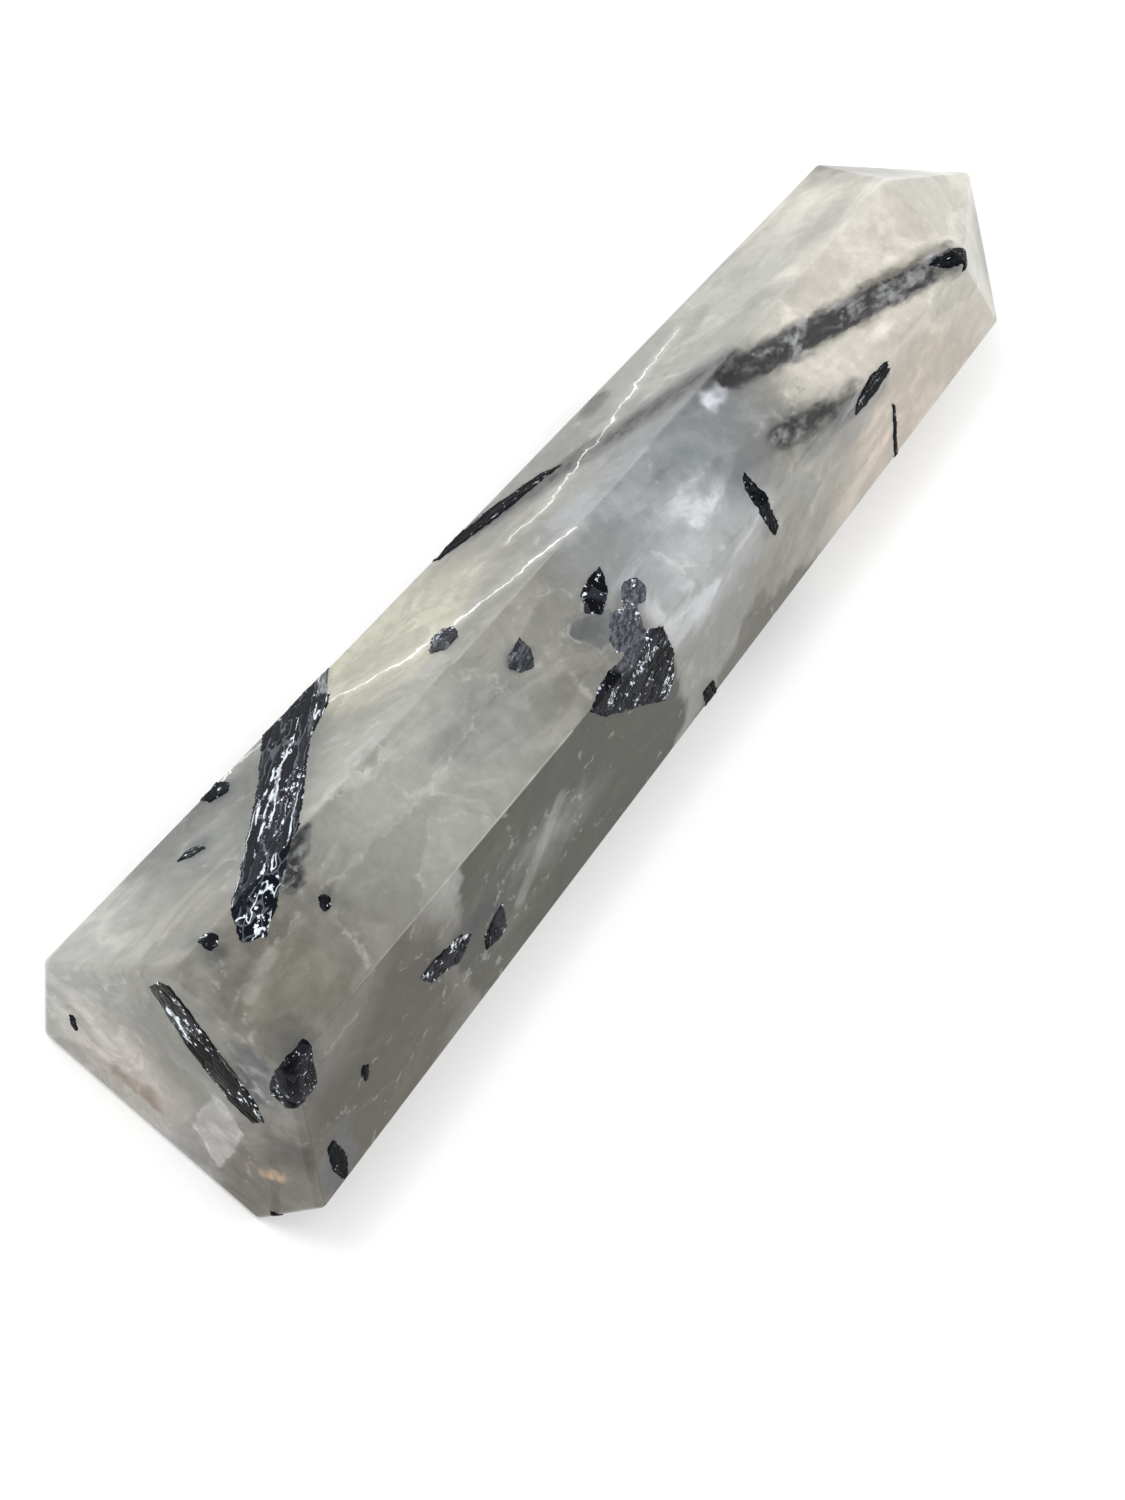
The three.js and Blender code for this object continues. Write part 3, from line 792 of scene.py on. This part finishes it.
class Habit(Enum):
    """The ways that the tourmaline looks, from crystal to crystal."""

    BLADED = TourmalineFinish(
        black=(0.003, 0.004, 0.007), sheen=(0.022, 0.027, 0.037), blade=(8.0, 0.8), thread=0.05,
        threaded=0.75, stranded=0.8, cracked=0.1, sparked=0.3, spark_size=0.42,
        spark_line=((21.0, 7.9, 13.9), (5.5, 2.4, 19.6)),
        pale_end=((36.0, 12.6, 5.0), (31.6, 10.4, 9.1)),
    )
    GUNMETAL = TourmalineFinish(
        black=(0.004, 0.0045, 0.004), sheen=(0.13, 0.135, 0.12), blade=(2.6, 0.8), threaded=0.2,
        sparked=0.75, spark_size=0.4, roughness=0.28,
    )
    BROKEN = TourmalineFinish(
        sheen=(0.024, 0.025, 0.033), blade=(1.1, 0.8), thread=0.05, threaded=0.25, stranded=0.1,
        sparked=0.8, spark_size=0.42, spark_stretch=1.6, ribbing=0.3,
    )
    CLUSTERED = TourmalineFinish(
        sheen=(0.024, 0.025, 0.033), blade=(1.1, 0.8), thread=0.05, threaded=0.25, stranded=0.1,
        sparked=0.7, spark_size=0.42, spark_stretch=1.6, ribbing=0.3,
        pale_end=((48.8, -1.6, 17.3), (43.9, -3.2, 17.7)), pale=screen_colour(86, 88, 95), pale_reach=2.1,
    )
    GREY = TourmalineFinish(
        black=(0.02, 0.022, 0.026), sheen=(0.14, 0.15, 0.165), blade=(0.8, 0.6), threaded=0.3,
        sparked=0.55, spark_size=0.4, spark_stretch=1.2,
    )
    SOOTY = TourmalineFinish(blade=(3.0, 0.5), threaded=0.1, sparked=0.12, roughness=0.5)
    PEPPERED = TourmalineFinish(
        black=(0.006, 0.007, 0.009), sheen=(0.04, 0.045, 0.05), blade=(0.8, 0.6), threaded=0.3,
        sparked=0.62, spark_size=0.3,
    )


HABITS = {
    "big_lath": Habit.BLADED,
    "base_lath": Habit.GUNMETAL,
    "central_cluster": Habit.CLUSTERED,
    "corner_crystal": Habit.BROKEN,
    "right_crystal": Habit.BROKEN,
    "drop_crystal": Habit.GREY,
    "ridge_crystal": Habit.GREY,
    "ridge_speck": Habit.PEPPERED,
    "left_splinter": Habit.PEPPERED,
}


def principal_axis(points: np.ndarray) -> Vector:
    """Gives the way that most of a set of points lies."""
    values, vectors = np.linalg.eigh(np.cov((points - points.mean(0)).T))
    return Vector(vectors[:, int(np.argmax(values))]).normalized()


def node_points(names: Iterable[str]) -> np.ndarray:
    """Gives the corner points of the named solids, in millimetres."""
    lists = [[vertex.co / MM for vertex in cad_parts[name].data.vertices] for name in names]
    return np.array([tuple(point) for points in lists for point in points])


def finished_piece(mesh_mm: bmesh.types.BMesh, name: str, replaced: str,
                   material: bpy.types.Material, smooth: bool) -> bpy.types.Object:
    """Puts a mesh made in millimetres into the scene as a piece of the obelisk.

    Args:
        mesh_mm: The mesh, which is freed.
        name: The piece's name.
        replaced: The solid that it stands for.
        material: Its finish.
        smooth: Whether it is shaded smooth.

    Returns:
        The piece.
    """
    bmesh.ops.transform(mesh_mm, matrix=Matrix.Scale(MM, 4), verts=mesh_mm.verts)
    mesh = bpy.data.meshes.new(name)
    mesh_mm.to_mesh(mesh)
    mesh_mm.free()
    mesh.polygons.foreach_set("use_smooth", [smooth] * len(mesh.polygons))
    mesh.materials.append(material)
    piece = bpy.data.objects.new(name, mesh)
    bpy.context.scene.collection.objects.link(piece)
    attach(piece, "root")
    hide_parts(replaced)
    LOG.info("%s: %d faces", name, len(mesh.polygons))
    return piece


@dataclass
class Tower:
    """The quartz itself: a six-sided tower with crisp long edges and a bevelled base rim.

    Attributes:
        edge_round: How far the edges are rounded, in millimetres.
        flat_angle: Faces closer than this many degrees count as one.
        least_face: Faces under this many square millimetres are left out.
    """

    edge_round: float = 0.16
    flat_angle: float = 4
    least_face: float = 0.5
    finish: QuartzFinish = field(default_factory=QuartzFinish)

    def planes(self) -> list[tuple[Vector, float]]:
        """Gives the tower's faces, each as its outward normal and distance in millimetres.

        They are the faces of the hull of the quartz and its crystals together.
        """
        mesh = bmesh.new()
        for point in node_points(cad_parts):
            mesh.verts.new(point)
        bmesh.ops.convex_hull(mesh, input=mesh.verts)
        bmesh.ops.dissolve_limit(mesh, angle_limit=math.radians(0.6), verts=mesh.verts,
                                 edges=mesh.edges)
        mesh.normal_update()
        planes = []
        for face in sorted(mesh.faces, key=bmesh.types.BMFace.calc_area, reverse=True):
            apart = all(face.normal.angle(other) > math.radians(self.flat_angle)
                        for other, _ in planes)
            if apart and face.calc_area() > self.least_face:
                planes.append((face.normal.copy(), face.normal.dot(face.calc_center_median())))
        mesh.free()
        return planes

    def cut(self) -> bmesh.types.BMesh:
        """Cuts the bare tower out of a block, one face at a time."""
        mesh = bmesh.new()
        bmesh.ops.create_cube(mesh, size=4 * max(abs(distance) for _, distance in self.planes()))
        for normal, distance in self.planes():
            result = bmesh.ops.bisect_plane(mesh, geom=mesh.verts[:] + mesh.edges[:] + mesh.faces[:],
                                            dist=1e-4, plane_co=normal * distance, plane_no=normal,
                                            clear_outer=True)
            border = [item for item in result["geom_cut"] if isinstance(item, bmesh.types.BMEdge)]
            bmesh.ops.edgeloop_fill(mesh, edges=border)
        bmesh.ops.remove_doubles(mesh, verts=mesh.verts, dist=0.03)
        bmesh.ops.recalc_face_normals(mesh, faces=mesh.faces)
        return mesh

    def build(self) -> bpy.types.Object:
        """Builds the polished stone."""
        mesh = self.cut()
        bmesh.ops.bevel(mesh, geom=mesh.edges[:], offset=self.edge_round, segments=2, profile=0.5,
                        affect="EDGES", clamp_overlap=True)
        bmesh.ops.triangulate(mesh, faces=mesh.faces)
        return finished_piece(mesh, "quartz_tower", "quartz", self.finish.material(), False)


@dataclass
class Crystals:
    """The tourmaline crystals, each made finer from the solid that it stands for.

    Attributes:
        grain: The size of the faces of the finished mesh, in millimetres.
        proud: How far an exposed face stands out of the quartz.
        rough: How far a crystal's skin strays from its solid.
        ribs: How deep its lengthwise ribs are.
        seed: The seed of the skin's unevenness; 0 would start it from the clock.
    """

    grain: float = 0.16
    proud: float = 0.05
    rough: float = 0.16
    ribs: float = 0.06
    seed: int = 7

    def names(self) -> list[str]:
        """Gives the crystals' names."""
        return sorted(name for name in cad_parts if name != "quartz")

    def refined(self, name: str) -> bmesh.types.BMesh:
        """Gives a crystal's solid as an even fine mesh, in millimetres."""
        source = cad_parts[name].data.copy()
        source.transform(Matrix.Scale(1 / MM, 4))
        holder = bpy.data.objects.new("refining", source)
        bpy.context.scene.collection.objects.link(holder)
        remesh = holder.modifiers.new("even", "REMESH")
        remesh.mode = "VOXEL"
        remesh.voxel_size = self.grain
        bpy.context.view_layer.update()
        evaluated = holder.evaluated_get(bpy.context.evaluated_depsgraph_get())
        mesh = bmesh.new()
        mesh.from_mesh(evaluated.to_mesh())
        evaluated.to_mesh_clear()
        bpy.data.objects.remove(holder)
        bpy.data.meshes.remove(source)
        return mesh

    def build(self, planes: list[tuple[Vector, float]]) -> list[bpy.types.Object]:
        """Builds every crystal.

        Args:
            planes: The tower's faces, each as its outward normal and distance in millimetres.

        Returns:
            The crystals.
        """
        noise.seed_set(self.seed)
        return [self.crystal(name, planes) for name in self.names()]

    def crystal(self, name: str, planes: list[tuple[Vector, float]]) -> bpy.types.Object:
        """Builds one crystal.

        Args:
            name: The solid that it stands for.
            planes: The tower's faces, each as its outward normal and distance in millimetres.

        Returns:
            The crystal.
        """
        axis = principal_axis(node_points([name]))
        across = axis.orthogonal().normalized()
        beside = axis.cross(across)
        mesh = self.refined(name)
        mesh.normal_update()
        moves = {}
        for vertex in mesh.verts:
            place = vertex.co
            depth, normal = max(((place.dot(n) - d, n) for n, d in planes), key=lambda pair: pair[0])
            shown = min(1.0, max(0.0, 1 + (depth + 0.08) / 0.3))
            coarse = noise.noise_vector(place * 0.8) + noise.noise_vector(place * 2.9) * 0.6
            coarse = coarse - normal * coarse.dot(normal) * shown
            rib = noise.noise(Vector((place.dot(axis) * 0.25, place.dot(across) * 3, place.dot(beside) * 3)))
            move = coarse * self.rough + vertex.normal * rib * self.ribs * (1 - 0.7 * shown)
            moves[vertex] = move + normal * (self.proud + 0.12 * self.grain) * shown
        for vertex, move in moves.items():
            vertex.co += move
        finish = HABITS.get(name, Habit.SOOTY).value
        return finished_piece(mesh, "crystal_" + name, name,
                              finish.material(name, axis), True)


@dataclass
class Studio:
    """A plain white table, soft light from all round and the photograph's point of view.

    Attributes:
        eye: The camera's place in millimetres.
        right: The camera's right.
        up: The camera's up.
        back: The way from what it looks at to the camera.
        focal: The focal length for a picture 36 mm high.
    """

    eye: Point = (-207.8, 2.6, 316.7)
    right: Point = (0.5487, -0.7527, 0.3638)
    up: Point = (0.6442, 0.6580, 0.3900)
    back: Point = (-0.5329, 0.0204, 0.8459)
    focal: float = 120.6
    sky: float = 1.35
    floor_colour: Colour = (0.8, 0.8, 0.8)
    floor_drop: float = 0.05

    def camera(self) -> bpy.types.Object:
        """Sets the camera up."""
        data = bpy.data.cameras.new("camera")
        data.sensor_fit = "AUTO"
        data.sensor_width = 36.0
        data.lens = self.focal
        data.clip_start = 0.01
        data.clip_end = 10.0
        camera = bpy.data.objects.new("camera", data)
        turn = Matrix((self.right, self.up, self.back)).transposed().to_4x4()
        camera.matrix_world = Matrix.Translation(Vector(self.eye) * MM) @ turn
        bpy.context.scene.collection.objects.link(camera)
        bpy.context.scene.camera = camera
        return camera

    def floor(self) -> bpy.types.Object:
        """Lays the table."""
        mesh = bmesh.new()
        bmesh.ops.create_grid(mesh, x_segments=8, y_segments=8, size=1.5)
        bmesh.ops.translate(mesh, vec=(0.0, 0.0, -self.floor_drop * MM), verts=mesh.verts)
        data = bpy.data.meshes.new("floor")
        mesh.to_mesh(data)
        mesh.free()
        graph = NodeGraph("white_table")
        shader = graph.add("BsdfPrincipled", {"Base Color": (*self.floor_colour, 1.0), "Roughness": 0.8})
        graph.tree.links.new(shader.outputs[0], graph.output.inputs["Surface"])
        data.materials.append(graph.material)
        floor = bpy.data.objects.new("floor", data)
        bpy.context.scene.collection.objects.link(floor)
        return floor

    def lamp(self, name: str, place: Point, aim: Point, size: float, power: float) -> bpy.types.Object:
        """Hangs a soft square lamp.

        Args:
            name: Its name.
            place: Where it hangs, in metres.
            aim: What it points at, in metres.
            size: Its side in metres.
            power: Its power in watts.

        Returns:
            The lamp.
        """
        data = bpy.data.lights.new(name, "AREA")
        data.size = size
        data.energy = power
        lamp = bpy.data.objects.new(name, data)
        way = Vector(aim) - Vector(place)
        lamp.matrix_world = Matrix.Translation(Vector(place)) @ way.to_track_quat("-Z", "Y").to_matrix().to_4x4()
        bpy.context.scene.collection.objects.link(lamp)
        return lamp

    def light(self) -> None:
        """Lights the scene and sets the picture's tones."""
        world = bpy.data.worlds.new("soft_white_room")
        world.use_nodes = True
        world.node_tree.nodes["Background"].inputs["Color"].default_value = (1.0, 1.0, 1.0, 1.0)
        world.node_tree.nodes["Background"].inputs["Strength"].default_value = self.sky
        bpy.context.scene.world = world
        self.lamp("key_softbox", (-0.25, 0.55, 0.7), (0.0, 0.0, 0.0), 0.5, 4.0)
        settings = bpy.context.scene.view_settings
        settings.view_transform = "Standard"
        settings.look = "None"
        settings.exposure = 0.0
        bpy.context.scene.cycles.max_bounces = 8
        bpy.context.scene.cycles.transmission_bounces = 6

    def build(self) -> None:
        """Builds the whole studio."""
        self.camera()
        self.floor()
        self.light()


def main() -> None:
    """Builds the obelisk and its studio."""
    logging.basicConfig(level=logging.INFO, format="%(name)s: %(message)s")
    Studio().build()
    tower = Tower()
    tower.build()
    Crystals().build(tower.planes())


if __name__ == "__main__":
    main()
